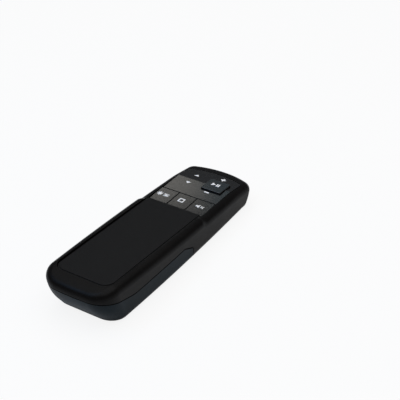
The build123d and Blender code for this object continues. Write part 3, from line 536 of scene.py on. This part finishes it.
def patch(outline):
    """A filled shape: its points go from the outline's middle to the outline as the first parameter rises."""
    outline = np.asarray(outline, float)
    middle = outline.mean(axis=0)
    share = np.linspace(0, 1, PATCH_RINGS)[:, None, None]
    return middle + share * (outline - middle), True


def stroke(path, width, closed=False):
    """A line along a path: each point is set off to both sides, square to the path, by half the width."""
    path = np.asarray(path, float)
    ahead, behind = np.roll(path, -1, axis=0), np.roll(path, 1, axis=0)
    if not closed:
        ahead[-1], behind[0] = path[-1], path[0]
    along = ahead - behind
    along /= np.linalg.norm(along, axis=1, keepdims=True)
    across = np.stack([-along[:, 1], along[:, 0]], axis=1) * width / 2
    return np.stack([path - across, path + across]), closed


def box(width, height):
    """The corners of a box about the symbol's middle, in the order of a left-hand turn."""
    return [(width / 2 * x, height / 2 * y) for x, y in [(-1, -1), (1, -1), (1, 1), (-1, 1)]]


def turned(x, y, degrees):
    """A point turned to the left about the symbol's middle."""
    c, s = cos(radians(degrees)), sin(radians(degrees))
    return x * c - y * s, x * s + y * c


def shifted(x, *shapes):
    """Shapes moved to the right."""
    return [(shape + np.array([x, 0.0]), closed) for shape, closed in shapes]


def printed(name, shapes, face, body):
    """Lays flat shapes on a key's face, given by their middle there and by its slope towards the nose.

    A shape's two values are added to X and Y, and its height rises with the second by the slope's tangent.
    """
    x, y, z, slope = face
    sheets = []
    for shape, closed in shapes:
        u, v = shape[..., 0], shape[..., 1]
        laid = np.stack([x + u, y + v, z + v * tan(slope) + PRINT_LIFT], axis=-1)
        sheets.append((on_deck(laid), closed))
    thing = piece(name, sheets_mesh(name, sheets), ink_white, body)
    ink = thing.modifiers.new("thickness", "SOLIDIFY")
    ink.thickness = PRINT_THICKNESS * MM
    ink.offset = 0.0
    return thing


ROW_Y = 26.05
ROW_Z = -0.55
ROW_SLOPE = radians(3.1)
PLAY_FACE = (6.9, 48.5, 0.85, 0.0)


def plate_face(x, y):
    """A place on the rocker plate, whose height follows the slope away from the ridge."""
    slope = REAR_SLOPE if y < RIDGE_Y else FRONT_SLOPE
    return x, y, RIDGE_Z + (y - RIDGE_Y) * tan(slope), slope


def row_face(x, y):
    """A place on the row of keys, whose faces share one slope."""
    return x, y, ROW_Z + (y - ROW_Y) * tan(ROW_SLOPE), ROW_SLOPE


PLUS_HALF = 0.475
PLUS_REACH = 1.45
plus_arm = [(PLUS_REACH, -PLUS_HALF), (PLUS_REACH, PLUS_HALF), (PLUS_HALF, PLUS_HALF)]

up_arrow = [patch([(-1.6, -0.9), (1.6, -0.9), (0.0, 1.1)])]
down_arrow = [patch([(-1.6, 0.9), (0.0, -1.1), (1.6, 0.9)])]
plus = [patch([turned(x, y, angle) for angle in range(0, 360, 90) for x, y in plus_arm])]
minus = [patch(box(3.1, 0.95))]
play = [patch([(-2.3, -1.45), (0.1, 0.0), (-2.3, 1.45)])]
pause = shifted(0.85, patch(box(0.8, 2.6))) + shifted(2.0, patch(box(0.8, 2.6)))
stop = [stroke(box(2.7, 2.7), 1.0, closed=True)]
speaker = [patch([(-2.2, -0.6), (-1.2, -0.6), (0.0, -1.5), (0.0, 1.5), (-1.2, 0.6), (-2.2, 0.6)])]
cross = [stroke([(0.8, -0.9), (2.5, 0.9)], 0.6), stroke([(0.8, 0.9), (2.5, -0.9)], 0.6)]
rays = [stroke([turned(1.0, 0.0, angle), turned(1.65, 0.0, angle)], 0.6) for angle in range(0, 360, 45)]
disc = patch([turned(1.05, 0.0, angle) for angle in range(0, 360, 30)])
burst = shifted(-1.9, *rays, disc)
screen = shifted(2.0, stroke(box(2.6, 2.0), 0.45, closed=True), patch(box(1.8, 1.2)))

printed("page_up_mark", up_arrow, plate_face(-8.1, 53.3), "rocker")
printed("page_down_mark", down_arrow, plate_face(-8.0, 43.9), "rocker")
printed("plus_mark", plus, plate_face(6.2, 57.3), "rocker")
printed("minus_mark", minus, plate_face(6.1, 40.7), "rocker")
printed("play_pause_mark", play + pause, PLAY_FACE, "play")
printed("stop_mark", stop, row_face(-0.7, 27.0), "stop")
printed("mute_mark", speaker + cross, row_face(10.7, 26.9), "mute")
printed("pointer_mark", burst + screen, row_face(-12.4, 27.0), "pointer")

# ---- Stage, light and camera ----
FLOOR_HALF = 3.0
FLOOR_TONE = (0.93, 0.93, 0.93)
FLOOR_WHITE_SEEN = 0.87
FLOOR_WHITE_MIRRORED = 0.25
ROOM_TONE = (0.125, 0.13, 0.14)
WHITE = (1, 1, 1)
WINDOW_ROLL = radians(14)
CAMERA_TURN = radians(33.5)
CAMERA_DROP = radians(31.02)
CAMERA_DISTANCE = 564.3
CAMERA_AIM_AHEAD = 9.2
CAMERA_AIM_RIGHT = 19.0
CAMERA_AIM_UP = 7.59
LENS = 99.0
SENSOR_WIDTH = 36.0


def stage_floor():
    """A wide pale floor: a white glow, more of it to the camera than in reflections, over a matte face.

    The matte share is what the lamps light, so it keeps the object's shadow.
    """
    f = Finish("floor_white")
    seen = f.node("LightPath", {}, {}, "Is Camera Ray")
    shine = f.node("LightPath", {}, {}, "Is Glossy Ray")
    through = f.node("LightPath", {}, {}, "Is Transmission Ray")
    glow = f.node("Emission", {}, {"Color": rgba(WHITE), "Strength": 1.0})
    matte = f.node("BsdfDiffuse", {}, {"Color": rgba(FLOOR_TONE)})
    share = seen * FLOOR_WHITE_SEEN + (shine + through) * FLOOR_WHITE_MIRRORED
    floor_white = f.surface(f.node("MixShader", {}, {0: share, 1: matte, 2: glow}))
    x, y = np.meshgrid([-FLOOR_HALF, FLOOR_HALF], [-FLOOR_HALF, FLOOR_HALF], indexing="ij")
    thing = bpy.data.objects.new("floor", sheets_mesh("floor", [(np.stack([x, y, 0 * x], axis=-1), False)]))
    bpy.context.scene.collection.objects.link(thing)
    thing.data.materials.append(floor_white)
    return thing


def studio_world():
    """A dim even room that lights the object, with a white background for the camera."""
    f = Finish("studio", world=True)
    seen = f.node("LightPath", {}, {}, "Is Camera Ray")
    room = f.node("Background", {}, {"Color": rgba(ROOM_TONE)})
    white = f.node("Background", {}, {"Color": rgba(WHITE)})
    bpy.context.scene.world = f.surface(f.node("MixShader", {}, {0: seen, 1: room, 2: white}))


def softbox(name, at, toward, size, power, tint=WHITE, roll=0.0):
    """A flat lamp that faces a point; the roll turns it about the line to that point."""
    lamp = bpy.data.lights.new(name, "AREA")
    lamp.shape = "RECTANGLE"
    lamp.size, lamp.size_y = size
    lamp.energy = power
    lamp.color = tint
    thing = bpy.data.objects.new(name, lamp)
    thing.location = at
    look = Vector(toward) - Vector(at)
    thing.rotation_mode = "QUATERNION"
    thing.rotation_quaternion = look.to_track_quat("-Z", "Y") @ Quaternion((0, 0, 1), roll)
    bpy.context.scene.collection.objects.link(thing)
    return thing


def camera():
    """A long lens from behind and to the right, level with the deck from side to side, looking down at it."""
    level, down = cos(CAMERA_DROP), -sin(CAMERA_DROP)
    right = np.array([cos(CAMERA_TURN), sin(CAMERA_TURN), 0.0])
    ahead = np.array([-sin(CAMERA_TURN) * level, cos(CAMERA_TURN) * level, down])
    above = np.cross(right, ahead)
    aim = np.array([0.0, CAMERA_AIM_AHEAD, 0.0]) + CAMERA_AIM_RIGHT * right + CAMERA_AIM_UP * above
    data = bpy.data.cameras.new("camera")
    data.sensor_width = SENSOR_WIDTH
    data.lens = LENS
    data.clip_start, data.clip_end = 0.05, 20.0
    thing = bpy.data.objects.new("camera", data)
    thing.location = Vector(on_deck(aim - CAMERA_DISTANCE * ahead))
    thing.rotation_mode = "QUATERNION"
    thing.rotation_quaternion = Matrix(tilted([right, above, -ahead])).transposed().to_quaternion()
    bpy.context.scene.collection.objects.link(thing)
    bpy.context.scene.camera = thing
    return thing


stage_floor()
studio_world()
softbox("window_light", at=(-0.2368, 0.3392, 0.2438), toward=(0.0052, 0.0692, -0.0002), size=(0.074, 0.044),
        power=0.0195, tint=(1.0, 0.97, 0.90), roll=WINDOW_ROLL)
softbox("top_light", at=(0.05, 0.0, 0.9), toward=(0.0, 0.0, 0.0), size=(1.4, 1.4), power=9.5)
softbox("tail_light", at=(-0.24, -0.27, 0.46), toward=(0.0, -0.06, 0.02), size=(0.26, 0.26),
        power=0.42, tint=(0.10, 0.45, 1.0))
softbox("cool_light", at=(-0.1722, 0.3917, 0.2496), toward=(0.0698, 0.1217, 0.0056), size=(0.090, 0.100),
        power=0.0100, tint=(0.55, 0.84, 1.0))
camera()
bpy.context.scene.view_settings.view_transform = "Standard"
